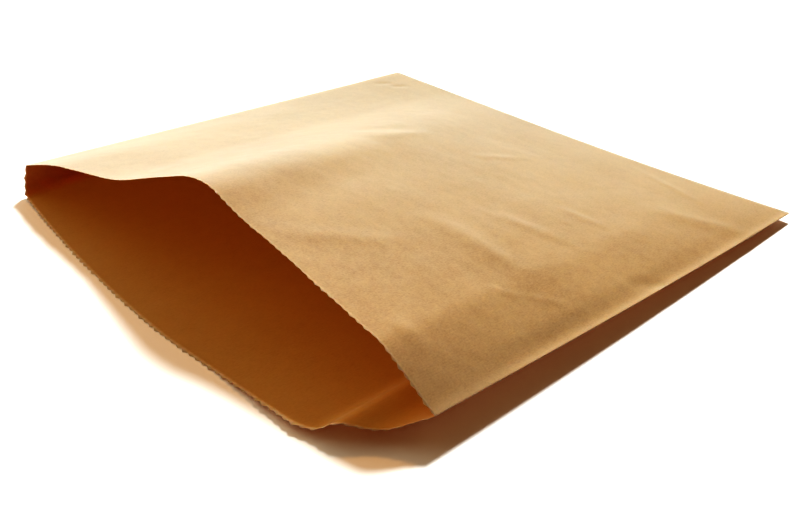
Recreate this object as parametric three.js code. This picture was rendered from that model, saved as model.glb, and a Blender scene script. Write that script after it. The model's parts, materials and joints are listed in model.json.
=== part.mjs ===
// Flat kraft paper bag, lying on its lower sheet with its mouth gaping. Millimetres, +Z up.
// +X runs from the left side fold to the right one, +Y from the mouth to the closed end.
// The origin is on the surface that the bag lies on, under the middle of its box.

import * as THREE from 'three';

// The paper and the bag as it lies flat
const PAPER = 0.1;              // one ply
const BAG_WIDTH = 250;          // from side fold to side fold
const BAG_LENGTH = 250;         // from the closed end to the upper sheet's mouth
const LIP = 25.5;               // reach of the lower sheet past the upper one
const LIP_LEFT_RUN = 148;       // width over which the lip grows, from the left fold
const LIP_RIGHT_RUN = 41;       // the same, from the right fold
const LIP_LEFT_EASE = 1.5;      // roundness of that growth, 1 for a straight cut
const LIP_RIGHT_EASE = 1.3;
const TOOTH_PITCH = 3.5;        // pinked mouth edge
const TOOTH_DEPTH = 0.8;
const FLAP = 20;                // closed end folded under and glued
const FLAP_PLIES = 2;
const FLAP_EASE = 16;           // paper coming back to the floor in front of the flap
const SEAM_INNER_EDGE = 118;    // left fold to the edge of the seam's inner ply
const SEAM_LAP = 14;            // width of the glued lengthwise seam
const SEAM_EASE = 12;           // paper coming back to the floor beside the seam

// Mouth of the upper sheet: each bend by its distance in from a side fold and its height
const LEFT_FOLD_RISE = 13.2;
const RIGHT_FOLD_RISE = 11.5;
const BULGE_IN = 20.2;          // from the left fold
const BULGE_RISE = 20.7;
const HOLLOW_IN = 67;           // from the left fold
const HOLLOW_RISE = 30;
const RIDGE_IN = 115;           // from the left fold
const RIDGE_RISE = 49.7;
const SHOULDER_IN = 19;         // from the right fold
const SHOULDER_RISE = 24.2;

// Mouth of the lower sheet
const FOOT_RISE = 0.8;          // foot of the steep left wall, just off the floor
const TOUCHDOWN_IN = 45;        // where the sheet meets the floor, from the left fold
const CORNER_IN = 30.2;         // where it leaves the floor, from the right fold
const CREASE_IN = 24.9;         // from the right fold
const CREASE_RISE = 4;
const BELLY_IN = 12;            // from the right fold
const BELLY_RISE = 3.6;

// Length of paper on each side of a bend that the bend takes up
const BULGE_BEND = 12;
const HOLLOW_BEND = 8;
const RIDGE_BEND = 14;
const SHOULDER_BEND = 12;
const FOOT_BEND = 4;
const TOUCHDOWN_BEND = 14;
const CORNER_BEND = 3;
const CREASE_BEND = 2.5;
const BELLY_BEND = 5;
const BEND_SHARE = 0.45;        // most of a straight run that one bend may take up

// How the gape runs out towards the closed end
const RIDGE_SWEEP = 50;         // drift of the ridge to the left
const END_LIFT = 3.4;           // right end corner off the floor
const END_LIFT_RUN = 140;       // width over which it lifts

// Fineness of the faceted sheets
const COLUMN_STEP = 9;
const COLUMN_GAP = 2;           // least distance between columns from different lists
const BEND_COLUMNS = 3;
const ROW_STEP = 24;
const EDGE_ROW = 3;             // first and last row, next to the mouth and the closed end
const SOLVER_STEPS = 50;
const DERIVATIVE_STEP = 1e-4;   // as a share of the bag's width

const KRAFT_COLOUR = 0xd2a878;
const KRAFT_ROUGHNESS = 0.62;

const SEAM_OUTER_EDGE = SEAM_INNER_EDGE + SEAM_LAP;

const { clamp, lerp } = THREE.MathUtils;

// Outline in X and Z made of straight runs with each bend rounded. Corners are [x, z, bend].
function creasedOutline(corners) {
  const points = corners.map(([x, z]) => new THREE.Vector2(x, z));
  const path = new THREE.Path();
  path.moveTo(points[0].x, points[0].y);
  for (let i = 1; i < points.length - 1; i += 1) {
    const back = points[i - 1].clone().sub(points[i]);
    const ahead = points[i + 1].clone().sub(points[i]);
    const bend = Math.min(corners[i][2], BEND_SHARE * back.length(), BEND_SHARE * ahead.length());
    const start = points[i].clone().add(back.setLength(bend));
    const end = points[i].clone().add(ahead.setLength(bend));
    path.lineTo(start.x, start.y);
    path.quadraticCurveTo(points[i].x, points[i].y, end.x, end.y);
  }
  const last = points[points.length - 1];
  path.lineTo(last.x, last.y);
  return path;
}

// Value between two limits at which an outline that grows with it is as long as the bag is wide
function solveForWidth(outlineAt, low, high) {
  let from = low;
  let to = high;
  for (let i = 0; i < SOLVER_STEPS; i += 1) {
    const middle = (from + to) / 2;
    if (outlineAt(middle).getLength() < BAG_WIDTH) from = middle;
    else to = middle;
  }
  return (from + to) / 2;
}

// Upper sheet's mouth, by the distance of the side folds from the middle
function upperMouthAt(half) {
  return creasedOutline([
    [-half, LEFT_FOLD_RISE],
    [-half + BULGE_IN, BULGE_RISE, BULGE_BEND],
    [-half + HOLLOW_IN, HOLLOW_RISE, HOLLOW_BEND],
    [-half + RIDGE_IN, RIDGE_RISE, RIDGE_BEND],
    [half - SHOULDER_IN, SHOULDER_RISE, SHOULDER_BEND],
    [half, RIGHT_FOLD_RISE],
  ]);
}

const HALF_MOUTH = solveForWidth(upperMouthAt, 0, BAG_WIDTH / 2);

// Lower sheet's mouth, by the distance that the foot of its left wall stands outside the fold
function lowerMouthAt(footOut) {
  return creasedOutline([
    [-HALF_MOUTH, LEFT_FOLD_RISE],
    [-HALF_MOUTH - footOut, FOOT_RISE, FOOT_BEND],
    [-HALF_MOUTH + TOUCHDOWN_IN, PAPER, TOUCHDOWN_BEND],
    [HALF_MOUTH - CORNER_IN, PAPER, CORNER_BEND],
    [HALF_MOUTH - CREASE_IN, CREASE_RISE, CREASE_BEND],
    [HALF_MOUTH - BELLY_IN, BELLY_RISE, BELLY_BEND],
    [HALF_MOUTH, RIGHT_FOLD_RISE],
  ]);
}

const FOOT_OUT = solveForWidth(lowerMouthAt, -TOUCHDOWN_IN, TOUCHDOWN_IN);

// Rise of both sheets where the flap under the closed end holds them off the floor
function flapLift(down) {
  const inFront = BAG_LENGTH * (1 - down) - FLAP;
  return FLAP_PLIES * PAPER * clamp(1 - inFront / FLAP_EASE, 0, 1);
}

// Point of the closed end, a line across the bag whose right corner lifts off the floor
function endPoint(share) {
  const x = (share - 0.5) * BAG_WIDTH;
  const lifted = Math.max(0, (x - BAG_WIDTH / 2 + END_LIFT_RUN) / END_LIFT_RUN);
  return new THREE.Vector3(x, 0, PAPER + END_LIFT * lifted ** 2);
}

// One sheet by its inner face. Straight lines of paper run from each share of the mouth, counted
// from the left fold, to a share of the closed end, and keep the length that they have lying flat.
class Sheet {
  constructor(mouth, sweep, up) {
    this.mouth = mouth;
    this.sweep = sweep / BAG_WIDTH;
    this.up = up;
  }

  endShare(share) {
    return share - this.sweep * Math.sin(Math.PI * share) ** 2;
  }

  // Point a share across from the left fold and a share down from the mouth to the closed end
  point(share, down) {
    const endShare = this.endShare(share);
    const end = endPoint(endShare);
    const edge = this.mouth.getPoint(share);
    const flatSquared = BAG_LENGTH ** 2 + ((share - endShare) * BAG_WIDTH) ** 2;
    const reach = Math.sqrt(flatSquared - (edge.x - end.x) ** 2 - (edge.y - end.z) ** 2);
    const point = new THREE.Vector3(edge.x, -reach, edge.y).lerp(end, down);
    const onFloor = PAPER;
    point.z = Math.max(point.z, onFloor) + flapLift(down);
    return point;
  }

  // Unit normal out of the bag
  normal(share, down) {
    const left = this.point(Math.max(0, share - DERIVATIVE_STEP), down);
    const right = this.point(Math.min(1, share + DERIVATIVE_STEP), down);
    const along = this.point(share, 1).sub(this.point(share, 0));
    return right.sub(left).cross(along).setLength(this.up);
  }

  // Unit direction from a side fold, at share 0 or 1, into the sheet
  inward(fold, down) {
    const inside = this.point(Math.abs(fold - DERIVATIVE_STEP), down);
    return inside.sub(this.point(fold, down)).normalize();
  }
}

const upperSheet = new Sheet(upperMouthAt(HALF_MOUTH), RIDGE_SWEEP, 1);
const lowerSheet = new Sheet(lowerMouthAt(FOOT_OUT), 0, -1);

// Rise of one face of the lower sheet at the lengthwise seam, by width from the left fold: the
// face steps up a ply at its edge, and beyond the lap the sheet comes down to the floor again.
function seamLift(across, edge) {
  const step = clamp((across - edge) / PAPER, 0, 1);
  const ease = clamp(1 - (across - SEAM_OUTER_EDGE - PAPER) / SEAM_EASE, 0, 1);
  return PAPER * step * ease;
}

// Reach of the lower sheet's lip, by width from the left fold
function lipReach(across) {
  const grown = (run, ease) => 1 - (1 - clamp(run, 0, 1)) ** ease;
  const left = grown(across / LIP_LEFT_RUN, LIP_LEFT_EASE);
  const right = grown((BAG_WIDTH - across) / LIP_RIGHT_RUN, LIP_RIGHT_EASE);
  return LIP * left * right;
}

// Shares across a mouth that follow its straight runs and bends
function outlineShares(outline) {
  const shares = [0];
  const total = outline.getLength();
  let start = 0;
  for (const run of outline.curves) {
    const length = run.getLength();
    const count = run instanceof THREE.LineCurve ? Math.ceil(length / COLUMN_STEP) : BEND_COLUMNS;
    for (let i = 1; i <= count; i += 1) shares.push((start + (length * i) / count) / total);
    start += length;
  }
  shares[shares.length - 1] = 1;
  return shares;
}

// Fixed shares with those of another list that keep clear of them, in order
function mergeShares(fixed, others) {
  const gap = COLUMN_GAP / BAG_WIDTH;
  const clear = others.filter((share) => fixed.every((other) => Math.abs(other - share) > gap));
  return [...fixed, ...clear].sort((a, b) => a - b);
}

const seamShares = [
  SEAM_INNER_EDGE,
  SEAM_INNER_EDGE + PAPER,
  SEAM_OUTER_EDGE,
  SEAM_OUTER_EDGE + PAPER,
  SEAM_OUTER_EDGE + PAPER + SEAM_EASE,
].map((across) => across / BAG_WIDTH);

const upperShares = outlineShares(upperSheet.mouth);
const lowerShares = mergeShares([0, ...seamShares, 1], outlineShares(lowerSheet.mouth));
const endShares = mergeShares(lowerShares, upperShares.map((share) => upperSheet.endShare(share)));

// Pinked edge: shares across with every second one a tip
const TEETH = Math.round(BAG_WIDTH / TOOTH_PITCH);
const toothShares = Array.from({ length: 2 * TEETH + 1 }, (_, i) => i / (2 * TEETH));
const toothReach = (i) => (i % 2 === 1 ? TOOTH_DEPTH : 0);

// Rows across the bag, by share down from the mouth
const FLAP_DOWN = 1 - FLAP / BAG_LENGTH;
const EASE_DOWN = 1 - (FLAP + FLAP_EASE) / BAG_LENGTH;
const FIRST_DOWN = EDGE_ROW / BAG_LENGTH;
const LAST_DOWN = 1 - FIRST_DOWN;
const openRows = Math.ceil(((EASE_DOWN - FIRST_DOWN) * BAG_LENGTH) / ROW_STEP);
const openDowns = Array.from(
  { length: openRows + 1 },
  (_, i) => lerp(FIRST_DOWN, EASE_DOWN, i / openRows),
);
const flapDowns = [(FLAP_DOWN + LAST_DOWN) / 2, LAST_DOWN];

// The mesh: points, triangles, and lines of { at, index } along which bands of triangles run
const positions = [];
const triangles = [];

function addPoint(point, at) {
  positions.push(point.x, point.y, point.z);
  return { at, index: positions.length / 3 - 1 };
}

function addTriangle(...corners) {
  triangles.push(...corners.map((corner) => corner.index));
}

// Band between two lines that run the same way. With the first line below the second and both
// running right, its front faces the viewer unless it is flipped. Its first triangle stands on the
// lower line and its last hangs from the upper one, so no diagonal starts at the lower line's ends.
function addBand(lower, upper, flip) {
  let i = 0;
  let j = 0;
  while (i < lower.length - 1 || j < upper.length - 1) {
    const lowerOnly = j === upper.length - 1 || (i === 0 && j === 0);
    const stepLower = lowerOnly || (i < lower.length - 2 && lower[i + 1].at <= upper[j + 1].at);
    const next = stepLower ? lower[i + 1] : upper[j + 1];
    if (flip) addTriangle(lower[i], upper[j], next);
    else addTriangle(lower[i], next, upper[j]);
    if (stepLower) i += 1;
    else j += 1;
  }
}

function addBands(lines, flip) {
  for (let i = 1; i < lines.length; i += 1) addBand(lines[i - 1], lines[i], flip);
}

// Row of a sheet's inner face
function innerRow(sheet, shares, downOf) {
  return shares.map((share, i) => {
    const point = sheet.point(share, downOf(share, i));
    if (sheet === lowerSheet) point.z += seamLift(share * BAG_WIDTH, SEAM_INNER_EDGE);
    return addPoint(point, sheet.endShare(share));
  });
}

// Row of a sheet's outer face, a number of plies out from the inner one
function outerRow(sheet, shares, downOf, plies) {
  return shares.map((share, i) => {
    const down = downOf(share, i);
    const point = sheet.point(share, down).addScaledVector(sheet.normal(share, down), plies * PAPER);
    if (sheet === lowerSheet && plies === 1) point.z += seamLift(share * BAG_WIDTH, SEAM_OUTER_EDGE);
    return addPoint(point, sheet.endShare(share));
  });
}

// Outermost point of the paper's turn at a side fold, share 0 or 1
function foldNose(fold, down) {
  const inward = upperSheet.inward(fold, down).add(lowerSheet.inward(fold, down)).normalize();
  return addPoint(upperSheet.point(fold, down).addScaledVector(inward, -PAPER), down);
}

const rows = { upperInner: [], upperOuter: [], lowerInner: [], lowerOuter: [] };
const folds = [0, 1].map((share) => ({ share, upper: [], nose: [], lower: [] }));

// Point of a row at a side fold, share 0 or 1
const atFold = (row, share) => (share === 0 ? row[0] : row[row.length - 1]);

function addLowerOuterRow(shares, downOf, plies, foldDown) {
  const row = outerRow(lowerSheet, shares, downOf, plies);
  rows.lowerOuter.push(row);
  folds.forEach((fold) => fold.lower.push({ ...atFold(row, fold.share), at: foldDown }));
}

// Rows of both sheets at one place down the bag. The inner faces share the points at the folds.
function addStation(upperRow, lowerRow, foldDown, plyCounts) {
  const upperInner = innerRow(upperSheet, upperRow.shares, upperRow.downOf);
  const betweenFolds = lowerRow.shares.slice(1, -1);
  const lowerMiddle = innerRow(lowerSheet, betweenFolds, (share, i) => lowerRow.downOf(share, i + 1));
  const upperOuter = outerRow(upperSheet, upperRow.shares, upperRow.downOf, 1);
  rows.upperInner.push(upperInner);
  rows.lowerInner.push([upperInner[0], ...lowerMiddle, upperInner[upperInner.length - 1]]);
  rows.upperOuter.push(upperOuter);
  plyCounts.forEach((plies) => addLowerOuterRow(lowerRow.shares, lowerRow.downOf, plies, foldDown));
  folds.forEach((fold) => {
    fold.upper.push({ ...atFold(upperOuter, fold.share), at: foldDown });
    fold.nose.push(foldNose(fold.share, foldDown));
  });
}

function addStraightStation(down, plyCounts) {
  const downOf = () => down;
  addStation({ shares: upperShares, downOf }, { shares: lowerShares, downOf }, down, plyCounts);
}

const upperEdge = (share, i) => -toothReach(i) / BAG_LENGTH;
const lowerEdge = (share, i) => upperEdge(share, i) - lipReach(share * BAG_WIDTH) / BAG_LENGTH;
addStation(
  { shares: toothShares, downOf: upperEdge },
  { shares: toothShares, downOf: lowerEdge },
  0,
  [1],
);
openDowns.forEach((down) => addStraightStation(down, [1]));
addStraightStation(FLAP_DOWN, [1, 1 + FLAP_PLIES]);
flapDowns.forEach((down) => addStraightStation(down, [1 + FLAP_PLIES]));

// Closed end: one line where the inner faces meet, and the paper turned under around it
function endRow(rise, reach) {
  return endShares.map((share) => {
    const point = endPoint(share);
    point.z += flapLift(1) + rise(share * BAG_WIDTH);
    point.y += reach;
    return addPoint(point, share);
  });
}

const seamRise = (across) => seamLift(across, SEAM_INNER_EDGE);
const endInner = endRow(seamRise, 0);
const endUpper = endRow((across) => seamRise(across) + PAPER, 0);
const endNose = endRow(() => -PAPER, FLAP_PLIES * PAPER);
const endLower = endRow(() => -(1 + FLAP_PLIES) * PAPER, 0);
rows.upperInner.push(endInner);
rows.lowerInner.push(endInner);
rows.upperOuter.push(endUpper);
rows.lowerOuter.push(endLower);

// Faces of the two sheets, the turn at the closed end and the pinked rim
addBands(rows.upperOuter, false);
addBands(rows.lowerOuter, true);
addBands(rows.upperInner, true);
addBands(rows.lowerInner, false);
addBands([endLower, endNose, endUpper], true);
addBand(rows.upperInner[0], rows.upperOuter[0], false);
addBand(rows.lowerOuter[0], rows.lowerInner[0], false);

// Turns at the side folds, with their ends at the mouth and at the closed end
folds.forEach(({ share, upper, nose, lower }) => {
  const left = share === 0;
  const turn = (a, b, c) => (left ? addTriangle(a, b, c) : addTriangle(a, c, b));
  const inner = atFold(rows.upperInner[0], share);
  const tip = atFold(endNose, share);
  upper.push({ ...atFold(endUpper, share), at: 1 });
  lower.push({ ...atFold(endLower, share), at: 1 });
  nose.push(foldNose(share, 1));
  addBands([lower, nose, upper], left);
  turn(inner, upper[0], nose[0]);
  turn(inner, nose[0], lower[0]);
  turn(tip, nose[nose.length - 1], upper[upper.length - 1]);
  turn(tip, lower[lower.length - 1], nose[nose.length - 1]);
});

const geometry = new THREE.BufferGeometry();
geometry.setAttribute('position', new THREE.Float32BufferAttribute(positions, 3));
geometry.setIndex(triangles);
geometry.computeBoundingBox();
const box = geometry.boundingBox;
const middle = box.getCenter(new THREE.Vector3());
geometry.translate(-middle.x, -middle.y, -box.min.z);
geometry.computeVertexNormals();

const kraft = new THREE.MeshStandardMaterial({
  color: KRAFT_COLOUR,
  roughness: KRAFT_ROUGHNESS,
  metalness: 0,
  side: THREE.DoubleSide,
});

const paperBag = new THREE.Mesh(geometry, kraft);
paperBag.name = 'paper_bag';

const bag = new THREE.Group();
bag.add(paperBag);

export default bag;
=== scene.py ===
"""A flat kraft paper bag that lies with its mouth gaping, dressed for its picture.

The bag is cut as a flat mesh of one closed shell, and geometry nodes lay it down: they gape the
mouth, run the gape out towards the closed end, pink the cut edges, press the right fold and the
glued end, let the right of the mouth spring up, and wrinkle the paper.
"""

import functools
import json
import logging
import math
import operator
from collections.abc import Callable, Iterable, Mapping, Sequence
from dataclasses import dataclass
from enum import Enum
from types import SimpleNamespace
from typing import Any

import bpy
import numpy as np
from mathutils import Matrix, Vector

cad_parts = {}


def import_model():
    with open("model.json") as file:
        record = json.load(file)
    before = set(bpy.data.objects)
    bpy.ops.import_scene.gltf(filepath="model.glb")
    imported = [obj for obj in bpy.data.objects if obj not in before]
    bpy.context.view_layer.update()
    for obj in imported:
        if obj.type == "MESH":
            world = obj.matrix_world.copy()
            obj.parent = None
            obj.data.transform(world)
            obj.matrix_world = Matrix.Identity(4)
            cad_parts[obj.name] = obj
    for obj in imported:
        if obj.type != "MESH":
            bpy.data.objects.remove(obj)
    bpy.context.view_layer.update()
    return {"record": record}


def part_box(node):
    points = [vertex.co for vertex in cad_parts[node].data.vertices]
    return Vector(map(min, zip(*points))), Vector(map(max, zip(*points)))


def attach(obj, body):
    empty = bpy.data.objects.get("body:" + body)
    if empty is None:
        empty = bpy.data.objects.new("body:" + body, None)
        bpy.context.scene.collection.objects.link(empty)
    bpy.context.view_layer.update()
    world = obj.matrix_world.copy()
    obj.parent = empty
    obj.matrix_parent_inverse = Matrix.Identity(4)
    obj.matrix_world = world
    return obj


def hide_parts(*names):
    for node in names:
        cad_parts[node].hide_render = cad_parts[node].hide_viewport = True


LOG = logging.getLogger("paper_bag")
NODE = "paper_bag"
BODY = "root"
MM = 0.001
IMAGE_WIDTH_PX = 800
UV_MAP = "flat"
FORM_INPUTS = (
    "paper",
    "width",
    "length",
    "lip",
    "tooth_depth",
    "tooth_curl",
    "flap",
    "flap_ease",
    "seam_edge",
    "seam_lap",
    "seam_ease",
    "ridge_sweep",
    "end_lift",
    "end_lift_run",
    "fold_press",
    "fold_press_run",
    "fold_bow",
    "seed",
)


class Wire:
    """An output socket on which Python's operators add Math nodes."""

    def __init__(self, graph: "Graph", socket: bpy.types.NodeSocket) -> None:
        """Keeps the socket and the graph that it belongs to."""
        self.graph = graph
        self.socket = socket

    def __add__(self, other: "Value") -> "Wire":
        """Sum with another value."""
        return self.graph.math("ADD", self, other)

    __radd__ = __add__

    def __sub__(self, other: "Value") -> "Wire":
        """Difference from another value."""
        return self.graph.math("SUBTRACT", self, other)

    def __rsub__(self, other: "Value") -> "Wire":
        """Another value less this one."""
        return self.graph.math("SUBTRACT", other, self)

    def __mul__(self, other: "Value") -> "Wire":
        """Product with another value."""
        return self.graph.math("MULTIPLY", self, other)

    __rmul__ = __mul__

    def __truediv__(self, other: "Value") -> "Wire":
        """Quotient by another value."""
        return self.graph.math("DIVIDE", self, other)

    def __pow__(self, other: "Value") -> "Wire":
        """Power of this value."""
        return self.graph.math("POWER", self, other)

    def __neg__(self) -> "Wire":
        """This value with the other sign."""
        return self * -1.0

    def at_least(self, low: "Value") -> "Wire":
        """This value, or low if that is more."""
        return self.graph.math("MAXIMUM", self, low)

    def at_most(self, high: "Value") -> "Wire":
        """This value, or high if that is less."""
        return self.graph.math("MINIMUM", self, high)

    def over(self, limit: "Value") -> "Wire":
        """1 where this value is more than a limit, and 0 elsewhere."""
        return self.graph.math("GREATER_THAN", self, limit)

    def share(self) -> "Wire":
        """This value held between 0 and 1."""
        return self.at_least(0.0).at_most(1.0)

    def squared(self) -> "Wire":
        """Square of this value."""
        return self * self

    def arch(self) -> "Wire":
        """Parabola of this value: 0 at 0 and at 1, and 1 halfway."""
        return self * (1.0 - self) * 4.0


Value = Wire | float


class Made:
    """A node that a graph has made, whose outputs are read by name."""

    def __init__(self, graph: "Graph", node: bpy.types.Node) -> None:
        """Keeps the node and the graph that it belongs to."""
        self.graph = graph
        self.node = node

    def __getitem__(self, name: str) -> Wire:
        """The output in use that has this name."""
        return Wire(self.graph, Graph.socket(self.node.outputs, name))


class Graph:
    """A shader or geometry node tree in the making."""

    def __init__(self, tree: bpy.types.NodeTree) -> None:
        """Keeps the tree that nodes are added to."""
        self.tree = tree

    @staticmethod
    def of(owner: bpy.types.Material | bpy.types.World) -> "Graph":
        """Starts the shader of a material or a world afresh.

        Args:
            owner: the material or the world.

        Returns:
            Its graph, without nodes.
        """
        owner.use_nodes = True
        owner.node_tree.nodes.clear()
        return Graph(owner.node_tree)

    @staticmethod
    def socket(sockets: Iterable[bpy.types.NodeSocket], key: str | int) -> bpy.types.NodeSocket:
        """Finds the socket in use by its name, or by its place among those in use.

        Args:
            sockets: the inputs or the outputs of a node.
            key: the socket's name or place.

        Returns:
            The socket.
        """
        in_use = [socket for socket in sockets if socket.enabled]
        if isinstance(key, int):
            return in_use[key]
        return next(socket for socket in in_use if socket.name == key)

    @staticmethod
    def total(values: Iterable[Wire]) -> Wire:
        """Sum of some values."""
        return functools.reduce(operator.add, values)

    def feed(self, socket: bpy.types.NodeSocket, value: Any) -> None:
        """Links a wire to a socket, or sets a plain value on it.

        Args:
            socket: an input of a node.
            value: the wire or the value.
        """
        if isinstance(value, Wire):
            self.tree.links.new(value.socket, socket)
        else:
            socket.default_value = value

    def node(
        self,
        kind: str,
        settings: Mapping[str, Any] | None = None,
        inputs: Mapping[str | int, Any] | None = None,
    ) -> Made:
        """Adds a node.

        Args:
            kind: the node's type.
            settings: its own settings, which are set first.
            inputs: values or wires for its sockets, by name or place.

        Returns:
            The node, whose outputs can be read by name.
        """
        node = self.tree.nodes.new(kind)
        for name, value in (settings or {}).items():
            setattr(node, name, value)
        for key, value in (inputs or {}).items():
            self.feed(self.socket(node.inputs, key), value)
        return Made(self, node)

    def math(self, operation: str, *values: Value) -> Wire:
        """Adds a Math node on these values."""
        return self.node("ShaderNodeMath", {"operation": operation}, dict(enumerate(values)))["Value"]

    def vector(self, x: Value, y: Value, z: Value) -> Wire:
        """Puts three values together as a vector."""
        return self.node("ShaderNodeCombineXYZ", inputs={"X": x, "Y": y, "Z": z})["Vector"]

    def parts(self, vector: Wire) -> tuple[Wire, Wire, Wire]:
        """Takes a vector apart."""
        split = self.node("ShaderNodeSeparateXYZ", inputs={"Vector": vector})
        return split["X"], split["Y"], split["Z"]

    def scaled(self, vector: Any, factor: Value) -> Wire:
        """Multiplies a vector by a value."""
        inputs = {"Vector": vector, "Scale": factor}
        return self.node("ShaderNodeVectorMath", {"operation": "SCALE"}, inputs)["Vector"]

    def mixed(self, kind: str, factor: Value, first: Any, second: Any) -> Wire:
        """Mixes two vectors or colours.

        Args:
            kind: VECTOR or RGBA.
            factor: 0 for the first and 1 for the second.
            first: a vector or colour, or a wire of one.
            second: another.

        Returns:
            The mix.
        """
        inputs = {"Factor": factor, "A": first, "B": second}
        return self.node("ShaderNodeMix", {"data_type": kind}, inputs)["Result"]

    def eased(self, value: Wire, start: Value, end: Value) -> Wire:
        """Smooth step from 0 at one value to 1 at another."""
        inputs = {"Value": value, "From Min": start, "From Max": end}
        return self.node("ShaderNodeMapRange", {"interpolation_type": "SMOOTHSTEP"}, inputs)["Result"]

    def noise(self, place: Wire, size: float, seed: Value, detail: float = 2.0) -> Wire:
        """Noise about 0, between -0.5 and 0.5.

        Args:
            place: coordinates in metres.
            size: width of a blot of the noise, in metres.
            seed: which noise it is.
            detail: octaves of finer noise in it.

        Returns:
            The noise.
        """
        inputs = {"Vector": place, "W": seed, "Scale": 1.0 / size, "Detail": detail}
        return self.node("ShaderNodeTexNoise", {"noise_dimensions": "4D"}, inputs)["Fac"] - 0.5


class Sheet(Enum):
    """A sheet of the bag, by its value in the flat mesh."""

    LOWER = 0.0
    UPPER = 1.0


class Side(Enum):
    """A face of the paper, by its value in the flat mesh."""

    INNER = 0.0
    OUTER = 1.0


class FlatValue(Enum):
    """What the flat mesh says of each of its points."""

    ACROSS = "across"
    DOWN = "down"
    SHEET = "sheet"
    SIDE = "side"


@dataclass(frozen=True)
class Corner:
    """A bend of a mouth: its place in X and Z, and the paper on each side of it that it takes up."""

    x: float
    z: float
    bend: float = 0.0


@dataclass(frozen=True)
class Outline:
    """Edge of a sheet at the mouth: straight runs with each bend rounded."""

    corners: tuple[Corner, ...]
    bend_share: float = 0.45
    bend_points: int = 13

    def points(self) -> np.ndarray:
        """Rounds each bend between the first corner and the last.

        Returns:
            The points of the outline in X and Z, as rows.
        """
        places = [np.array((corner.x, corner.z)) for corner in self.corners]
        found = [places[0]]
        steps = np.linspace(0.0, 1.0, self.bend_points)[:, None]
        for corner, before, at, after in zip(self.corners[1:], places, places[1:], places[2:]):
            back, ahead = before - at, after - at
            lengths = np.linalg.norm(back), np.linalg.norm(ahead)
            bend = min(corner.bend, *(self.bend_share * length for length in lengths))
            start, end = at + back / lengths[0] * bend, at + ahead / lengths[1] * bend
            found.extend((1 - steps) ** 2 * start + 2 * steps * (1 - steps) * at + steps**2 * end)
        found.append(places[-1])
        return np.array(found)

    def length(self) -> float:
        """Length of the outline."""
        return float(np.linalg.norm(np.diff(self.points(), axis=0), axis=1).sum())

    def as_curve(self, name: str) -> bpy.types.Object:
        """Makes the outline a curve that geometry nodes can read.

        Args:
            name: the curve's name.

        Returns:
            The curve's object, linked to the scene.
        """
        curve = bpy.data.curves.new(name, "CURVE")
        curve.dimensions = "3D"
        points = self.points()
        spline = curve.splines.new("POLY")
        spline.points.add(len(points) - 1)
        for point, (x, z) in zip(spline.points, points):
            point.co = (x, 0.0, z, 1.0)
        made = bpy.data.objects.new(name, curve)
        bpy.context.scene.collection.objects.link(made)
        return made


@dataclass(frozen=True)
class Wave:
    """Soft waves of the upper sheet, which follow a noise."""

    name: str
    height: float
    size: float
    detail: float


@dataclass(frozen=True)
class Wrinkle:
    """A soft ridge in the upper sheet, or a valley where its height is negative.

    Its ends are places on the flat bag: across from the left fold, and along from the closed end.
    """

    start: tuple[float, float]
    end: tuple[float, float]
    width: float
    height: float


@dataclass(frozen=True)
class Blot:
    """A noise of the paper, with its part in the paper's tone, relief and roughness.

    Its size is the width of a blot across the bag, and its stretch is the blot's length along the
    bag, in such widths.
    """

    size: float
    seed: float
    detail: float
    tone: float
    relief: float = 0.0
    roughness: float = 0.0
    stretch: float = 1.0


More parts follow.
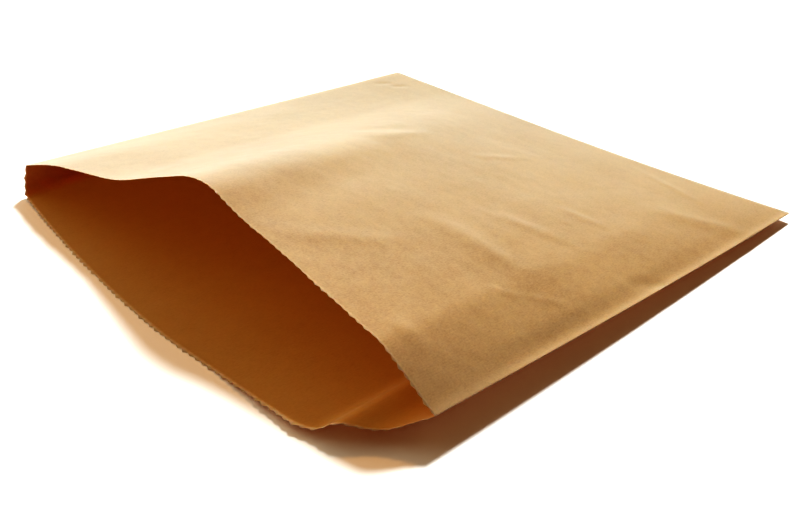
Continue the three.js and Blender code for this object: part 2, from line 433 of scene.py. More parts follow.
@dataclass(frozen=True)
class KraftPaper:
    """Brown kraft paper, glazed outside, with fibres that show as fine flecks, a golden inside that is
    painted warm shade, and pale folds and cut edges that are partly wear and partly painted highlight.
    """

    mid: tuple[float, float, float] = (0.43, 0.28, 0.14)
    pale: tuple[float, float, float] = (0.50, 0.335, 0.17)
    dark: tuple[float, float, float] = (0.34, 0.20, 0.085)
    # Pale colour of the folds and the cut edges: partly wear, partly painted highlight and glow.
    wear_and_highlight: tuple[float, float, float] = (0.76, 0.57, 0.37)
    # Golden, more saturated colour of the inside faces: painted warm shade, standing in for the light that
    # shines through the paper and bounces round inside the bag.
    inside: tuple[float, float, float] = (0.49, 0.31, 0.085)
    through: tuple[float, float, float] = (0.525, 0.33, 0.15)
    tone_gain: float = 3.6
    inside_warm_shade_share: float = 0.6
    roughness: float = 0.55
    glow: float = 0.4
    glow_reach: tuple[float, float, float] = (0.4 * MM, 0.2 * MM, 0.08 * MM)
    gloss: float = 0.1
    fuzz: float = 0.35
    fuzz_roughness: float = 0.35
    glaze: float = 1.0
    glaze_roughness: float = 0.32
    grain_depth: float = 0.05 * MM
    folds_apart: float = 250 * MM
    # Pale band along both folds, outside: partly wear, partly a painted highlight where light catches the
    # fold.
    fold_wear_and_highlight: float = 5 * MM
    fold_wear_and_highlight_share: float = 0.25
    # Pale band along the cut edges, on both faces: partly wear of the torn fibres, partly a painted glow of
    # light through them.
    edge_wear_and_glow: float = 1.4 * MM
    edge_wear_and_glow_share: float = 0.9
    # Fibres, flecks, mottle and clouds.
    blots: tuple[Blot, ...] = (
        Blot(0.5 * MM, seed=0.0015, detail=3.0, tone=0.6, relief=0.6, roughness=0.08, stretch=4.4),
        Blot(0.8 * MM, seed=11.0, detail=2.0, tone=0.6, relief=0.4),
        Blot(5.0 * MM, seed=5.0, detail=3.0, tone=0.42, relief=1.5, roughness=0.12),
        Blot(45.0 * MM, seed=8.0, detail=1.0, tone=0.35),
    )

    def material(self) -> bpy.types.Material:
        """Makes the paper's material, which lets part of a lamp's light through.

        Returns:
            The material.
        """
        material = bpy.data.materials.new("kraft_paper")
        graph = Graph.of(material)
        flat = graph.node("ShaderNodeUVMap", {"uv_map": UV_MAP})["UV"]
        across, along, _ = graph.parts(flat)
        outside = across.over(0.0)
        places = [graph.vector(across, along / blot.stretch, 0.0) for blot in self.blots]
        noises = [
            graph.noise(place, blot.size, blot.seed, blot.detail)
            for place, blot in zip(places, self.blots)
        ]
        relief = self._weighed(noises, "relief")
        bump = {"Strength": 1.0, "Distance": self.grain_depth, "Height": relief}
        paper = graph.node(
            "ShaderNodeBsdfPrincipled",
            inputs={
                "Base Color": self._colour(graph, self._weighed(noises, "tone"), across, along),
                "Roughness": self.roughness + self._weighed(noises, "roughness"),
                "Subsurface Weight": self.glow,
                "Subsurface Radius": self.glow_reach,
                "Subsurface Scale": 1.0,
                "Specular IOR Level": self.gloss,
                "Sheen Weight": self.fuzz,
                "Sheen Roughness": self.fuzz_roughness,
                "Coat Weight": self.glaze * outside,
                "Coat Roughness": self.glaze_roughness,
                "Normal": graph.node("ShaderNodeBump", inputs=bump)["Normal"],
            },
        )["BSDF"]
        filtered = graph.node("ShaderNodeBsdfTransparent", inputs={"Color": (*self.through, 1.0)})["BSDF"]
        from_lamp = graph.node("ShaderNodeLightPath")["Is Shadow Ray"]
        mix = graph.node("ShaderNodeMixShader", inputs={"Fac": from_lamp, 1: paper, 2: filtered})["Shader"]
        graph.node("ShaderNodeOutputMaterial", inputs={"Surface": mix})
        return material

    def _weighed(self, noises: Sequence[Wire], part: str) -> Wire:
        """Adds up the noises by their part in something.

        Args:
            noises: the noise of each blot.
            part: name of the blots' value that weighs it.

        Returns:
            The sum.
        """
        weights = (getattr(blot, part) for blot in self.blots)
        return Graph.total(noise * weight for noise, weight in zip(noises, weights) if weight)

    def _colour(self, graph: Graph, tone: Wire, across: Wire, along: Wire) -> Wire:
        """Gives the paper's colour: its random tone, painted warm shade on the inside faces, and pale bands
        along the folds and the cut edges that are partly wear and partly painted highlight.

        Args:
            graph: the material's graph.
            tone: paler than the middle tone where it is positive, and darker where it is negative.
            across: place across the flat paper, which is negative inside the bag.
            along: place along the flat paper, from 0 at the cut edge down.

        Returns:
            The colour.
        """
        outside = across.over(0.0)
        gained = tone * self.tone_gain
        colour = graph.mixed("RGBA", gained.share(), (*self.mid, 1.0), (*self.pale, 1.0))
        colour = graph.mixed("RGBA", (-gained).share(), colour, (*self.dark, 1.0))
        # Painted warm shade: the inside faces take on the golden inside colour.
        colour = graph.mixed("RGBA", (1.0 - outside) * self.inside_warm_shade_share, colour, (*self.inside, 1.0))
        # Pale band along both folds, outside: partly wear, partly painted highlight.
        from_fold = graph.math("PINGPONG", across, self.folds_apart / 2)
        at_fold_wear_and_highlight = (1.0 - graph.eased(from_fold, 0.0, self.fold_wear_and_highlight)) * outside * self.fold_wear_and_highlight_share
        # Pale band along the cut edges: partly wear, partly painted glow of light through the torn fibres.
        at_edge_wear_and_glow = (1.0 - graph.eased(-along, 0.0, self.edge_wear_and_glow)) * self.edge_wear_and_glow_share
        return graph.mixed("RGBA", at_fold_wear_and_highlight.at_least(at_edge_wear_and_glow), colour, (*self.wear_and_highlight, 1.0))


@dataclass(frozen=True)
class PaleFloor:
    """Plain white floor."""

    colour: tuple[float, float, float] = (0.95, 0.95, 0.95)
    roughness: float = 0.7
    gloss: float = 0.2

    def material(self) -> bpy.types.Material:
        """Makes the floor's material.

        Returns:
            The material.
        """
        material = bpy.data.materials.new("pale_floor")
        graph = Graph.of(material)
        inputs = {
            "Base Color": (*self.colour, 1.0),
            "Roughness": self.roughness,
            "Specular IOR Level": self.gloss,
        }
        surface = graph.node("ShaderNodeBsdfPrincipled", inputs=inputs)["BSDF"]
        graph.node("ShaderNodeOutputMaterial", inputs={"Surface": surface})
        return material


class FormTree(Graph):
    """A geometry node tree with named inputs."""

    def __init__(self, name: str) -> None:
        """Starts an empty tree that takes in and gives out a geometry.

        Args:
            name: the tree's name.
        """
        super().__init__(bpy.data.node_groups.new(name, "GeometryNodeTree"))
        self.values: dict[str, Any] = {}
        for way in ("OUTPUT", "INPUT"):
            self.tree.interface.new_socket("Geometry", in_out=way, socket_type="NodeSocketGeometry")

    def input(self, name: str, value: Any, kind: str = "NodeSocketFloat") -> Wire:
        """Adds a named input.

        Args:
            name: the input's name.
            value: what a modifier sets it to.
            kind: type of its socket.

        Returns:
            The input's value in the tree.
        """
        item = self.tree.interface.new_socket(name, in_out="INPUT", socket_type=kind)
        self.values[item.identifier] = value
        return self.node("NodeGroupInput")[name]

    def named(self, value: FlatValue) -> Wire:
        """Reads a value of the flat mesh."""
        inputs = {"Name": value.value}
        return self.node("GeometryNodeInputNamedAttribute", {"data_type": "FLOAT"}, inputs)["Attribute"]

    def applied(self, flat: bpy.types.Object) -> bpy.types.Mesh:
        """Runs the tree on an object.

        Args:
            flat: the object, which has no modifier before or after.

        Returns:
            The plain mesh that comes out.
        """
        modifier = flat.modifiers.new(self.tree.name, "NODES")
        modifier.node_group = self.tree
        for identifier, value in self.values.items():
            modifier[identifier] = value
        depsgraph = bpy.context.evaluated_depsgraph_get()
        evaluated = flat.evaluated_get(depsgraph)
        mesh = bpy.data.meshes.new_from_object(
            evaluated, preserve_all_data_layers=True, depsgraph=depsgraph
        )
        flat.modifiers.remove(modifier)
        return mesh


@dataclass
class PaperBag:
    """The bag: a sheet of paper folded to a tube, glued along it, with its end folded under and glued.

    The bends of its mouth named bulge, hollow, ridge and touchdown are placed from the left fold,
    and those named side_crease, haunch, corner, crease and belly from the right one. Runs, eases
    and rises in pairs are for the left and the right fold.
    """

    # The flat bag.
    paper: float = 0.1 * MM
    width: float = 250 * MM
    length: float = 250 * MM
    lip: float = 25.5 * MM
    lip_runs: tuple[float, float] = (148 * MM, 41 * MM)
    lip_eases: tuple[float, float] = (1.5, 1.3)
    lip_fade: float = 125 * MM
    tooth_pitch: float = 3.5 * MM
    tooth_depth: float = 1.1 * MM
    tooth_mean: float = 0.7
    tooth_spread: float = 2.6
    tooth_cut: float = 0.4
    tooth_curl: float = 0.15 * MM
    flap: float = 20 * MM
    flap_ease: float = 16 * MM
    flap_plies: int = 2
    seam_edge: float = 118 * MM
    seam_lap: float = 14 * MM
    seam_ease: float = 12 * MM
    seam_blend: float = 4 * MM
    # How it lies.
    ridge_sweep: float = 50 * MM
    end_lift: float = 3.4 * MM
    end_lift_run: float = 140 * MM
    fold_rises: tuple[float, float] = (13.2 * MM, 11.2 * MM)
    bulge: Corner = Corner(20.2 * MM, 20.7 * MM, 12 * MM)
    hollow: Corner = Corner(67 * MM, 30 * MM, 8 * MM)
    ridge: Corner = Corner(115 * MM, 49.5 * MM, 13 * MM)
    side_crease: Corner = Corner(26 * MM, 25.6 * MM, 3 * MM)
    haunch: Corner = Corner(9 * MM, 16.6 * MM, 6 * MM)
    foot_rise: float = 0.8 * MM
    foot_bend: float = 4 * MM
    touchdown: Corner = Corner(45 * MM, 0.1 * MM, 14 * MM)
    corner: Corner = Corner(30.2 * MM, 0.1 * MM, 3 * MM)
    crease: Corner = Corner(24.4 * MM, 4.6 * MM, 2.5 * MM)
    belly: Corner = Corner(12 * MM, 3.6 * MM, 5 * MM)
    # The right of the mouth springs up and forward, the upper sheet a little more than the lower.
    spring_upper: float = 3.3 * MM
    spring_lower: float = 3.1 * MM
    spring_way: tuple[float, float, float] = (0.95, -0.92, 1.0)
    spring_starts: tuple[float, float] = (155 * MM, 230 * MM)
    spring_run: float = 80 * MM
    spring_ease: float = 30 * MM
    # The right fold is pressed together away from the mouth.
    fold_press: float = 0.75
    fold_press_run: float = 11 * MM
    fold_press_starts: tuple[float, float] = (15 * MM, 70 * MM)
    fold_bow: float = 1.2 * MM
    # Waves and wrinkles of the upper sheet, which the folds and the glued end hold flat.
    loose_from_fold: tuple[float, float] = (2 * MM, 25 * MM)
    loose_from_end: tuple[float, float] = (3 * MM, 60 * MM)
    seed: float = 4.0
    waves: tuple[Wave, ...] = (
        Wave("cockle", 1.2 * MM, 45 * MM, 1.0),
        Wave("ripple", 0.3 * MM, 13 * MM, 2.0),
        Wave("crinkle", 0.14 * MM, 5.5 * MM, 2.0),
    )
    wrinkles: tuple[Wrinkle, ...] = (
        Wrinkle((171 * MM, 350 * MM), (115 * MM, 115 * MM), 12 * MM, -0.9 * MM),
        Wrinkle((163 * MM, 166 * MM), (217 * MM, 164 * MM), 6.5 * MM, 0.75 * MM),
        Wrinkle((172 * MM, 138 * MM), (212 * MM, 122 * MM), 5 * MM, 0.4 * MM),
        Wrinkle((208 * MM, 57 * MM), (254 * MM, 35 * MM), 6 * MM, 0.6 * MM),
        Wrinkle((169 * MM, 11 * MM), (224 * MM, 28 * MM), 2.2 * MM, 0.3 * MM),
        Wrinkle((82 * MM, 128 * MM), (90 * MM, 90 * MM), 6 * MM, -0.6 * MM),
        Wrinkle((97 * MM, 132 * MM), (98 * MM, 88 * MM), 4 * MM, 0.4 * MM),
        Wrinkle((127 * MM, 90 * MM), (140 * MM, 56 * MM), 2.5 * MM, 0.3 * MM),
        Wrinkle((184 * MM, 99 * MM), (210 * MM, 95 * MM), 2.5 * MM, 0.3 * MM),
        Wrinkle((8 * MM, 30 * MM), (13 * MM, 18 * MM), 2.5 * MM, -0.35 * MM),
        Wrinkle((17 * MM, 26 * MM), (22 * MM, 14 * MM), 2.5 * MM, -0.35 * MM),
        Wrinkle((158 * MM, 244 * MM), (181 * MM, 184 * MM), 6 * MM, 0.45 * MM),
        Wrinkle((213 * MM, 188 * MM), (226 * MM, 178 * MM), 1.6 * MM, 0.25 * MM),
        Wrinkle((222 * MM, 180 * MM), (237 * MM, 162 * MM), 1.6 * MM, 0.25 * MM),
        Wrinkle((212 * MM, 238 * MM), (231 * MM, 235 * MM), 4 * MM, 0.4 * MM),
        Wrinkle((240 * MM, 128 * MM), (249 * MM, 108 * MM), 3 * MM, -0.5 * MM),
    )
    # The mesh.
    row_step: float = 1.9 * MM
    edge_step: float = 0.3 * MM
    fold_columns: tuple[float, float] = (0.3 * MM, 0.9 * MM)
    solver_steps: int = 50

    def upper_mouth(self, half: float) -> Outline:
        """Gives the upper sheet's mouth.

        Args:
            half: distance of the side folds from the middle.

        Returns:
            The outline, from the left fold to the right one.
        """
        left, right = (self.bulge, self.hollow, self.ridge), (self.side_crease, self.haunch)
        return Outline(
            (
                Corner(-half, self.fold_rises[0]),
                *(Corner(bend.x - half, bend.z, bend.bend) for bend in left),
                *(Corner(half - bend.x, bend.z, bend.bend) for bend in right),
                Corner(half, self.fold_rises[1]),
            )
        )

    def lower_mouth(self, half: float, foot_out: float) -> Outline:
        """Gives the lower sheet's mouth.

        Args:
            half: distance of the side folds from the middle.
            foot_out: distance of the left wall's foot outside the left fold.

        Returns:
            The outline, from the left fold to the right one.
        """
        right = (self.corner, self.crease, self.belly)
        return Outline(
            (
                Corner(-half, self.fold_rises[0]),
                Corner(-half - foot_out, self.foot_rise, self.foot_bend),
                Corner(self.touchdown.x - half, self.touchdown.z, self.touchdown.bend),
                *(Corner(half - bend.x, bend.z, bend.bend) for bend in right),
                Corner(half, self.fold_rises[1]),
            )
        )

    def solved(self, outline_at: Callable[[float], Outline], low: float, high: float) -> float:
        """Finds the value at which an outline that grows with it is as long as the bag is wide.

        Args:
            outline_at: gives an outline for a value.
            low: lower limit of the value.
            high: upper limit.

        Returns:
            The value.
        """
        for _ in range(self.solver_steps):
            middle = (low + high) / 2
            if outline_at(middle).length() < self.width:
                low = middle
            else:
                high = middle
        return (low + high) / 2

    def mouths(self) -> tuple[Outline, Outline]:
        """Fits the mouths to the width of the flat paper.

        Returns:
            The mouths of the upper and the lower sheet.
        """
        half = self.solved(self.upper_mouth, 0.0, self.width / 2)
        foot_out = self.solved(
            lambda out: self.lower_mouth(half, out), -self.touchdown.x, self.touchdown.x
        )
        return self.upper_mouth(half), self.lower_mouth(half, foot_out)

    def teeth(self) -> int:
        """Gives the number of teeth across a cut edge."""
        return round(self.width / self.tooth_pitch)

    def columns(self) -> np.ndarray:
        """Spaces the mesh across the bag: two columns to a tooth, and more at the folds and the seam.

        Returns:
            The distances from the left fold.
        """
        even = np.linspace(0.0, self.width, 2 * self.teeth() + 1)
        beside_fold = np.array(self.fold_columns)
        seam = np.array((self.seam_edge, self.seam_edge + self.seam_lap))
        extra = (beside_fold, self.width - beside_fold, seam, seam + self.edge_step)
        return np.unique(np.concatenate((even, *extra)))

    def rows(self) -> np.ndarray:
        """Spaces the mesh along the bag, with a row at each side of the flap's edge.

        Returns:
            The distances down from the mouth.
        """
        at_flap = self.length - self.flap
        body = np.linspace(self.tooth_depth, at_flap - self.edge_step, round(at_flap / self.row_step))
        end = np.linspace(at_flap, self.length, round(self.flap / self.row_step))
        return np.concatenate(((0.0,), body, end))

    def flat_mesh(self) -> bpy.types.Mesh:
        """Makes the flat bag as one closed shell.

        Its columns run round the bag, over the upper sheet and back under the lower one, on an
        outer and on an inner tube. The tubes meet round the mouth, and each is closed along the end.

        Returns:
            The mesh, with what FlatValue names at each point and the flat paper as its UV map.
        """
        across, downs = self.columns(), self.rows()
        spans = len(across) - 1
        around = np.arange(2 * spans)
        tube_rows = np.concatenate((downs, downs[:-1]))
        end_columns = np.arange(spans + 1)
        column = np.minimum(around, 2 * spans - around)
        sheet = np.where(around <= spans, Sheet.UPPER.value, Sheet.LOWER.value)

        x = across[np.concatenate((np.tile(column, len(tube_rows)), end_columns))]
        down = np.concatenate((np.repeat(tube_rows, len(around)), np.full(spans + 1, downs[-1])))
        sheets = np.concatenate((np.tile(sheet, len(tube_rows)), np.full(spans + 1, Sheet.UPPER.value)))
        sides = np.full(len(x), Side.INNER.value)
        sides[: len(downs) * len(around)] = Side.OUTER.value

        faces, on_lower, on_inner = self._shell(len(downs), spans)
        mesh = bpy.data.meshes.new(NODE)
        mesh.from_pydata(np.stack((x, -down, np.zeros(len(x))), axis=1), [], faces)
        for value, data in zip(FlatValue, (x, down, sheets, sides)):
            attribute = mesh.attributes.new(value.value, "FLOAT", "POINT")
            attribute.data.foreach_set("value", data.astype(np.float32))
        self._lay_out_uv(mesh, on_lower, on_inner)
        return mesh

    def _shell(self, rows: int, spans: int) -> tuple[list[list[int]], np.ndarray, np.ndarray]:
        """Gives the faces of the flat bag.

        Args:
            rows: number of rows of points from the mouth to the closed end.
            spans: number of faces across a sheet.

        Returns:
            The points of each face, whether it is on the lower sheet, and whether it is on the
            inside of the bag.
        """
        around, end_columns = np.arange(2 * spans), np.arange(spans + 1)
        outer = np.arange(rows * len(around)).reshape(rows, -1)
        inner = outer + outer.size
        inner[-1] = inner[-1, 0] + np.minimum(around, 2 * spans - around)
        strips = [
            *(self._strip(outer[row], outer[row + 1]) for row in range(rows - 1)),
            *(self._strip(inner[row + 1], inner[row]) for row in range(rows - 1)),
            self._strip(inner[0], outer[0]),
        ]
        closing = self._strip(outer[-1, end_columns], outer[-1, -end_columns])[:-1]
        faces = np.concatenate(strips).tolist()
        faces += [list(dict.fromkeys(face)) for face in closing.tolist()]

        on_lower, on_inner = np.zeros((2, len(faces)), bool)
        on_lower[: -len(closing)] = np.tile(around >= spans, len(strips))
        tube_faces = (rows - 1) * len(around)
        on_inner[tube_faces : 2 * tube_faces] = True
        return faces, on_lower, on_inner

    @staticmethod
    def _strip(first: np.ndarray, second: np.ndarray) -> np.ndarray:
        """Joins two closed rows of points by faces with four corners."""
        return np.stack((first, np.roll(first, -1), np.roll(second, -1), second), axis=1)

    def _lay_out_uv(self, mesh: bpy.types.Mesh, on_lower: np.ndarray, on_inner: np.ndarray) -> None:
        """Gives the mesh the flat paper as its UV map.

        The lower sheet lies beside the upper one, and the inside is mirrored, so that it has
        negative values across.

        Args:
            mesh: the flat mesh.
            on_lower: for each face, whether it is on the lower sheet.
            on_inner: for each face, whether it is on the inside of the bag.
        """
        corner_point = np.empty(len(mesh.loops), np.int32)
        mesh.loops.foreach_get("vertex_index", corner_point)
        across, y, _ = np.array([vertex.co for vertex in mesh.vertices])[corner_point].T
        corner_counts = np.array([len(face.vertices) for face in mesh.polygons])
        lower, inner = (np.repeat(on_part, corner_counts) for on_part in (on_lower, on_inner))
        drift = self.ridge_sweep * np.sin(across / self.width * math.pi) ** 2
        u = np.where(lower, 2 * self.width - across, across + drift * y / self.length)
        u = np.where(inner, -u, u)
        layer = mesh.uv_layers.new(name=UV_MAP)
        layer.data.foreach_set("uv", np.stack((u, y), axis=1).astype(np.float32).ravel())

    def form_tree(
        self, mouths: Sequence[bpy.types.Object], end_y: float, kraft: bpy.types.Material
    ) -> FormTree:
        """Makes the nodes that lay the flat bag down.

        Args:
            mouths: curves of the upper and the lower sheet's mouth.
            end_y: place of the closed end.
            kraft: the paper's material.

        Returns:
            The tree.
        """
        tree = FormTree("lay_down")
        values = {name: getattr(self, name) for name in FORM_INPUTS}
        values.update((wave.name, wave.height) for wave in self.waves)
        sizes = {name: tree.input(name.replace("_", " ").title(), value) for name, value in values.items()}
        rule = LyingRule(tree, self, SimpleNamespace(**sizes), mouths)
        start = tree.node("NodeGroupInput")["Geometry"]
        placed = {"Geometry": start, "Position": rule.place(end_y)}
        laid = tree.node("GeometryNodeSetPosition", inputs=placed)["Geometry"]
        cut = {"Geometry": laid, "Selection": rule.rim().at_least(rule.end())}
        faces_only = {"domain": "FACE", "mode": "ONLY_FACE"}
        sheets = tree.node("GeometryNodeDeleteGeometry", faces_only, cut)["Geometry"]
        offset = {"Geometry": laid, "Offset": rule.offset(sheets)}
        thick = tree.node("GeometryNodeSetPosition", inputs=offset)["Geometry"]
        shading = {"Geometry": thick, "Shade Smooth": 1.0 - rule.rim()}
        smooth = tree.node("GeometryNodeSetShadeSmooth", inputs=shading)["Geometry"]
        real = tree.node("GeometryNodeRealizeInstances", inputs={"Geometry": smooth})["Geometry"]
        finish = {"Geometry": real, "Material": tree.input("Material", kraft, "NodeSocketMaterial")}
        dressed = tree.node("GeometryNodeSetMaterial", inputs=finish)["Geometry"]
        tree.node("NodeGroupOutput", inputs={"Geometry": dressed})
        return tree

    def build(self, kraft: bpy.types.Material) -> bpy.types.Object:
        """Makes the bag where its solid lies, in place of it.

        Args:
            kraft: the paper's material.

        Returns:
            The bag.
        """
        bag = bpy.data.objects.new("bag", self.flat_mesh())
        bpy.context.scene.collection.objects.link(bag)
        names = ("upper_mouth", "lower_mouth")
        mouths = [outline.as_curve(name) for outline, name in zip(self.mouths(), names)]
        end_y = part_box(NODE)[1].y - self.flap_plies * self.paper
        tree = self.form_tree(mouths, end_y, kraft)
        flat = bag.data
        bag.data = tree.applied(bag)
        bpy.data.meshes.remove(flat)
        for mouth in mouths:
            bpy.data.curves.remove(mouth.data)
        for value in FlatValue:
            bag.data.attributes.remove(bag.data.attributes[value.value])
        return bag

    def dress(self, bag: bpy.types.Object) -> None:
        """Ties the bag to its body, and hides its solid.

        Args:
            bag: the bag.
        """
        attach(bag, BODY)
        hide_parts(NODE)


class LyingRule:
    """The rule by which the flat bag lies, as values in a geometry node tree.

    Straight lines of paper run from each share of the mouth, counted from the left fold, to a
    share of the closed end, and keep the length that they have lying flat.
    """

    def __init__(
        self, tree: FormTree, bag: PaperBag, size: SimpleNamespace, mouths: Sequence[bpy.types.Object]
    ) -> None:
        """Reads the flat mesh and the mouths.

        Args:
            tree: the tree that the values are added to.
            bag: the bag.
            size: the bag's sizes as inputs of the tree, by their names.
            mouths: curves of the upper and the lower sheet's mouth.
        """
        self.tree, self.bag, self.size = tree, bag, size
        self.across, self.down, self.sheet, self.side = (tree.named(value) for value in FlatValue)
        self.share = self.across / size.width
        self.from_fold = self.across.at_most(size.width - self.across)
        self.on_rim = 1.0 - self.down.over(0.0)
        self.tooth = self._tooth()
        self.along = self._along()
        self.drift = size.ridge_sweep * tree.math("SINE", self.share * math.pi).squared()
        self.flat_across = self.across - self.drift * (1.0 - self.along / size.length)
        self.in_flap = 1.0 - self.along.over(size.flap + bag.edge_step / 2)
        self.mouths = {
            sheet: self._mouth(sheet, mouth) for sheet, mouth in zip((Sheet.UPPER, Sheet.LOWER), mouths)
        }

    def _mouth(self, sheet: Sheet, curve: bpy.types.Object) -> tuple[Wire, Wire]:
        """Reads a sheet's mouth at this share.

        Args:
            sheet: the sheet.
            curve: its mouth.

        Returns:
            X and Z of the mouth.
        """
        taken = self.tree.input(f"{sheet.name.title()} Mouth", curve, "NodeSocketObject")
        outline = self.tree.node("GeometryNodeObjectInfo", inputs={"Object": taken})["Geometry"]
        inputs = {"Curves": outline, "Factor": self.share}
        sample = self.tree.node("GeometryNodeSampleCurve", {"mode": "FACTOR"}, inputs)
        x, _, z = self.tree.parts(sample["Position"])
        return x, z

    def _tooth(self) -> Wire:
        """Gives the form of the pinked teeth, each of its own height.

        Returns:
            The share of a tooth's depth by which the cut edge stands out, or is cut back if negative.
        """
        tree, bag = self.tree, self.bag
        wave = tree.math("PINGPONG", self.share * bag.teeth(), 0.5) * 2.0
        place = tree.vector(self.across, self.sheet, 0.0)
        uneven = bag.tooth_mean + bag.tooth_spread * tree.noise(place, bag.tooth_pitch, self.size.seed)
        return (wave * uneven - bag.tooth_cut) * self.on_rim

    def _along(self) -> Wire:
        """Gives the place along the bag, with the lip and the pinked teeth of the mouth.

        Returns:
            The distance from the closed end.
        """
        size, bag = self.size, self.bag
        reaches = (self.across, size.width - self.across)
        left, right = (
            1.0 - (1.0 - (reach / run).share()) ** ease
            for reach, run, ease in zip(reaches, bag.lip_runs, bag.lip_eases)
        )
        near_mouth = (1.0 - self.down / bag.lip_fade).at_least(0.0).squared()
        lip = size.lip * left * right * near_mouth * (1.0 - self.sheet)
        return size.length - self.down + lip + size.tooth_depth * self.tooth

    def _sheet_place(self, sheet: Sheet) -> Wire:
        """Gives the place of the inner face of one sheet.

        Args:
            sheet: the sheet.

        Returns:
            The place, with the closed end at Y 0.
        """
        size = self.size
        down = 1.0 - self.along / size.length
        x, z = self.mouths[sheet]
        end_share = self.share
        if sheet is Sheet.UPPER:
            end_share = self.share - self.drift / size.width
        half = size.width / 2.0
        end_x = end_share * size.width - half
        lifted = ((end_x - half + size.end_lift_run) / size.end_lift_run).at_least(0.0)
        end_z = size.paper + size.end_lift * lifted.squared()
        flat_squared = size.length.squared() + ((self.share - end_share) * size.width).squared()
        reach = self.tree.math("SQRT", flat_squared - (x - end_x).squared() - (z - end_z).squared())
        height = (z + (end_z - z) * down).at_least(size.paper)
        return self.tree.vector(x + (end_x - x) * down, -reach * (1.0 - down), height)

    def _seam_lift(self) -> Wire:
        """Gives the rise of the lower sheet's face at the glued seam along the bag.

        Returns:
            The rise, which blends in softly inside the bag and is a sharp step outside.
        """
        size, bag = self.size, self.bag
        outer_edge = size.seam_edge + size.seam_lap
        edge = size.seam_edge + size.seam_lap * self.side
        ease = (1.0 - (self.across - outer_edge) / size.seam_ease).share()
        step = bag.edge_step + bag.seam_blend * (1.0 - self.side)
        doubled = ((self.across - edge) / step).share()
        hidden = self.in_flap * self.side
        return size.paper * doubled * ease * (1.0 - self.sheet) * (1.0 - hidden)

    def place(self, end_y: float) -> Wire:
        """Gives the place of the paper's inner face.

        Args:
            end_y: place of the closed end.

        Returns:
            The place of each point.
        """
        tree, size, bag = self.tree, self.size, self.bag
        upper, lower = self._sheet_place(Sheet.UPPER), self._sheet_place(Sheet.LOWER)
        own = tree.mixed("VECTOR", self.sheet, lower, upper)
        between = tree.mixed("VECTOR", 0.5, lower, upper)
        away = tree.eased(size.width - self.across, 0.0, size.fold_press_run)
        pressed = size.fold_press * (1.0 - away) * tree.eased(self.down, *bag.fold_press_starts)
        x, y, z = tree.parts(tree.mixed("VECTOR", pressed, own, between))
        right_half = (self.share * 2.0 - 1.0).at_least(0.0)
        bow = size.fold_bow * (1.0 - self.along / size.length).arch() * right_half.squared()
        in_front = self.along - size.flap
        flap_lift = bag.flap_plies * size.paper * (1.0 - in_front / size.flap_ease).share()
        spring = self._spring()
        spring_x, spring_y, spring_z = (way * spring for way in bag.spring_way)
        rise = flap_lift + self._seam_lift() + spring_z
        return tree.vector(x + bow + spring_x, y + end_y + spring_y, z + rise)

    def _spring(self) -> Wire:
        """Gives the move by which the right of the mouth springs up.

        Returns:
            The rise, which runs out down the bag, to the left and at the right fold.
        """
        tree, bag = self.tree, self.bag
        near_edge = (1.0 - self.down / bag.spring_run).share().squared()
        beside_fold = tree.eased(self.size.width - self.across, 0.0, bag.spring_ease)
        share = tree.eased(self.across, *bag.spring_starts) * near_edge * beside_fold
        return (bag.spring_lower + (bag.spring_upper - bag.spring_lower) * self.sheet) * share

    def _relief(self) -> Wire:
        """Gives the height of the upper sheet's waves and wrinkles.

        Returns:
            The height, which is 0 on the lower sheet.
        """
        tree, bag, size = self.tree, self.bag, self.size
        flat = tree.vector(self.flat_across, self.along, 0.0)
        off_fold = tree.eased(self.from_fold, *bag.loose_from_fold)
        loose = off_fold * tree.eased(self.along, *bag.loose_from_end)
        waves = tree.total(
            getattr(size, wave.name) * tree.noise(flat, wave.size, size.seed + float(number), wave.detail)
            for number, wave in enumerate(bag.waves)
        )
        wrinkles = tree.total(self._wrinkle(wrinkle) for wrinkle in bag.wrinkles)
        return (waves * loose + wrinkles) * self.sheet

    def _wrinkle(self, wrinkle: Wrinkle) -> Wire:
        """Gives the height of one wrinkle, which tapers to its ends.

        Args:
            wrinkle: the wrinkle.

        Returns:
            The height.
        """
        start, end = Vector(wrinkle.start), Vector(wrinkle.end)
        run = end - start
        way = run.normalized()
        over, up = self.flat_across - start.x, self.along - start.y
        done = (over * way.x + up * way.y) / run.length
        aside = (up * way.x - over * way.y) / wrinkle.width
        taper = done.arch().at_least(0.0)
        return self.tree.math("EXPONENT", -aside.squared()) * taper * wrinkle.height

    def rim(self) -> Wire:
        """Gives 1 on the faces of the cut rim, between the paper's outer and inner face."""
        halfway = (Side.INNER.value + Side.OUTER.value) / 2
        return self.tree.math("COMPARE", self.side, halfway, halfway / 2)

    def end(self) -> Wire:
        """Gives 1 on the faces that close the end."""
        return self.down.over(self.size.length - self.bag.edge_step / 2)

    def offset(self, sheets: Wire) -> Wire:
        """Gives the move of each face from the inner face's place: its plies of paper, and the wrinkles.

        Args:
            sheets: the bag as it lies, without the faces of no width that join its sheets.

        Returns:
            The move of each point.
        """
        tree, bag = self.tree, self.bag
        flap = bag.flap_plies * self.in_flap * (1.0 - self.sheet)
        plies = (1.0 + flap) * self.side
        outward = self.side * 2.0 - 1.0
        facing = {
            "Geometry": sheets,
            "Value": tree.node("GeometryNodeInputNormal")["Normal"],
            "Index": tree.node("GeometryNodeInputIndex")["Index"],
        }
        normal = tree.node("GeometryNodeSampleIndex", {"data_type": "FLOAT_VECTOR"}, facing)["Value"]
        bent = self._relief() + self.size.tooth_curl * self.tooth
        return tree.scaled(normal, plies * self.size.paper + outward * bent)


@dataclass(frozen=True)
class Patch:
    """A soft bright patch of the surroundings.

    Its edges are the cosines of the angles from its middle at which it starts and at which it is full.
    """

    azimuth: float
    elevation: float
    strength: float
    edges: tuple[float, float]
    colour: tuple[float, float, float]


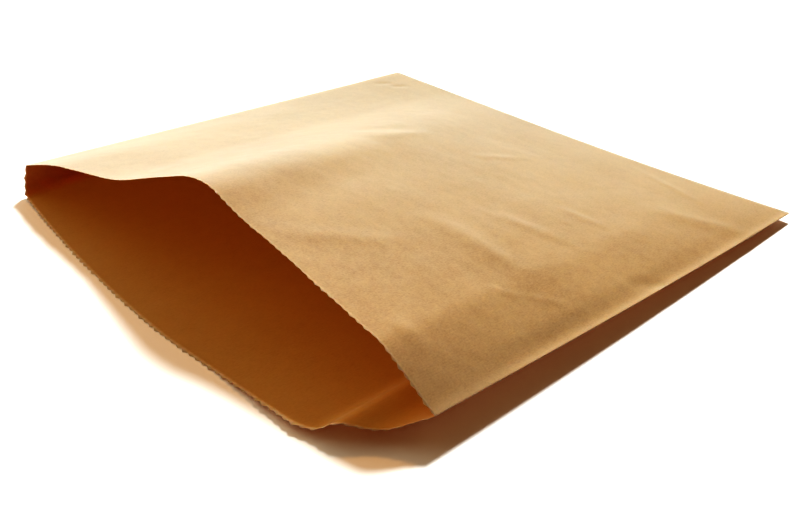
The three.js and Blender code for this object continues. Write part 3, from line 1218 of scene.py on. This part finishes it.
@dataclass
class Studio:
    """A white floor and backdrop, a soft sun behind the bag, a dim room with bright patches and the camera.

    Angles are in degrees, and azimuths turn from straight behind the bag to its left.
    """

    floor_size: float = 60.0
    floor_gap: float = 0.1 * MM
    camera_place: tuple[float, float, float] = (286.8 * MM, -332.3 * MM, 221.7 * MM)
    azimuth: float = 40.24
    elevation: float = 29.50
    roll: float = -4.48
    focal_length_px: float = 1088.7
    light_azimuth: float = 31.0
    light_elevation: float = 43.5
    light_width: float = 8.0
    light_strength: float = 3.36
    room: tuple[float, float, float] = (0.075, 0.064, 0.034)
    patches: tuple[Patch, ...] = (
        Patch(100.0, 36.0, 0.6, (0.6, 0.97), (1.0, 0.93, 0.7)),
        Patch(66.0, 4.0, 0.9, (0.53, 0.96), (0.69, 0.9, 0.93)),
    )
    backdrop: tuple[float, float, float] = (1.0, 1.0, 1.0)
    look: str = "Very High Contrast"

    def build(self, floor: bpy.types.Material) -> None:
        """Makes the floor, the lights and the camera.

        Args:
            floor: the floor's material.
        """
        self._floor(floor)
        self._light()
        self._surroundings()
        self._camera()
        view = bpy.context.scene.view_settings
        view.view_transform = "Standard"
        view.look = self.look

    def _floor(self, finish: bpy.types.Material) -> None:
        """Makes the floor just under the bag.

        Args:
            finish: the floor's material.
        """
        half = self.floor_size / 2
        signs = ((-1, -1), (1, -1), (1, 1), (-1, 1))
        corners = [(x * half, y * half, -self.floor_gap) for x, y in signs]
        mesh = bpy.data.meshes.new("floor")
        mesh.from_pydata(corners, [], [(0, 1, 2, 3)])
        mesh.materials.append(finish)
        floor = bpy.data.objects.new("floor", mesh)
        bpy.context.scene.collection.objects.link(floor)

    @staticmethod
    def _way(azimuth: float, elevation: float) -> Vector:
        """Gives the way to a point of the surroundings.

        Args:
            azimuth: degrees from straight behind the bag to its left.
            elevation: degrees above the floor.

        Returns:
            The way, of length 1.
        """
        turn, rise = math.radians(azimuth), math.radians(elevation)
        return Vector((-math.sin(turn) * math.cos(rise), math.cos(turn) * math.cos(rise), math.sin(rise)))

    def _light(self) -> None:
        """Makes the soft sun above and behind the bag."""
        light = bpy.data.lights.new("back_light", "SUN")
        light.angle = math.radians(self.light_width)
        light.energy = self.light_strength
        lamp = bpy.data.objects.new("back_light", light)
        lamp.visible_glossy = False
        to_lamp = self._way(self.light_azimuth, self.light_elevation)
        lamp.rotation_euler = to_lamp.to_track_quat("Z", "Y").to_euler()
        bpy.context.scene.collection.objects.link(lamp)

    def _surroundings(self) -> None:
        """Makes a dim room with soft bright patches, which the camera sees as a white backdrop."""
        world = bpy.data.worlds.new("studio")
        graph = Graph.of(world)
        way = graph.node("ShaderNodeTexCoord")["Generated"]
        light: Any = self.room
        for patch in self.patches:
            inputs = {0: way, 1: self._way(patch.azimuth, patch.elevation)}
            facing = graph.node("ShaderNodeVectorMath", {"operation": "DOT_PRODUCT"}, inputs)["Value"]
            bright = patch.strength * graph.eased(facing, *patch.edges)
            both = {0: light, 1: graph.scaled(patch.colour, bright)}
            light = graph.node("ShaderNodeVectorMath", {"operation": "ADD"}, both)["Vector"]
        lit = graph.node("ShaderNodeBackground", inputs={"Color": light})["Background"]
        seen = graph.node("ShaderNodeBackground", inputs={"Color": (*self.backdrop, 1.0)})["Background"]
        from_camera = graph.node("ShaderNodeLightPath")["Is Camera Ray"]
        mix = graph.node("ShaderNodeMixShader", inputs={"Fac": from_camera, 1: lit, 2: seen})["Shader"]
        graph.node("ShaderNodeOutputWorld", inputs={"Surface": mix})
        bpy.context.scene.world = world

    def _camera(self) -> None:
        """Makes the camera at the picture's angle."""
        turn, roll = math.radians(self.azimuth), math.radians(self.roll)
        ahead = self._way(self.azimuth, -self.elevation)
        right = Vector((math.cos(turn), math.sin(turn), 0.0))
        down = ahead.cross(right)
        image_right = math.cos(roll) * right + math.sin(roll) * down
        image_down = math.cos(roll) * down - math.sin(roll) * right
        camera = bpy.data.cameras.new("camera")
        camera.lens = self.focal_length_px * camera.sensor_width / IMAGE_WIDTH_PX
        holder = bpy.data.objects.new("camera", camera)
        turned = Matrix((image_right, -image_down, -ahead)).transposed().to_4x4()
        holder.matrix_world = Matrix.Translation(self.camera_place) @ turned
        bpy.context.scene.collection.objects.link(holder)
        bpy.context.scene.camera = holder


def main() -> None:
    """Builds the bag and its studio, and reports each piece."""
    logging.basicConfig(level=logging.INFO, format="%(message)s")
    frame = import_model()
    slot = frame["record"]["materials"][0]["slot"]
    bag = PaperBag()
    piece = bag.build(KraftPaper().material())
    bag.dress(piece)
    LOG.info("%s: %d faces", piece.name, len(piece.data.polygons))
    Studio().build(PaleFloor().material())


if __name__ == "__main__":
    main()
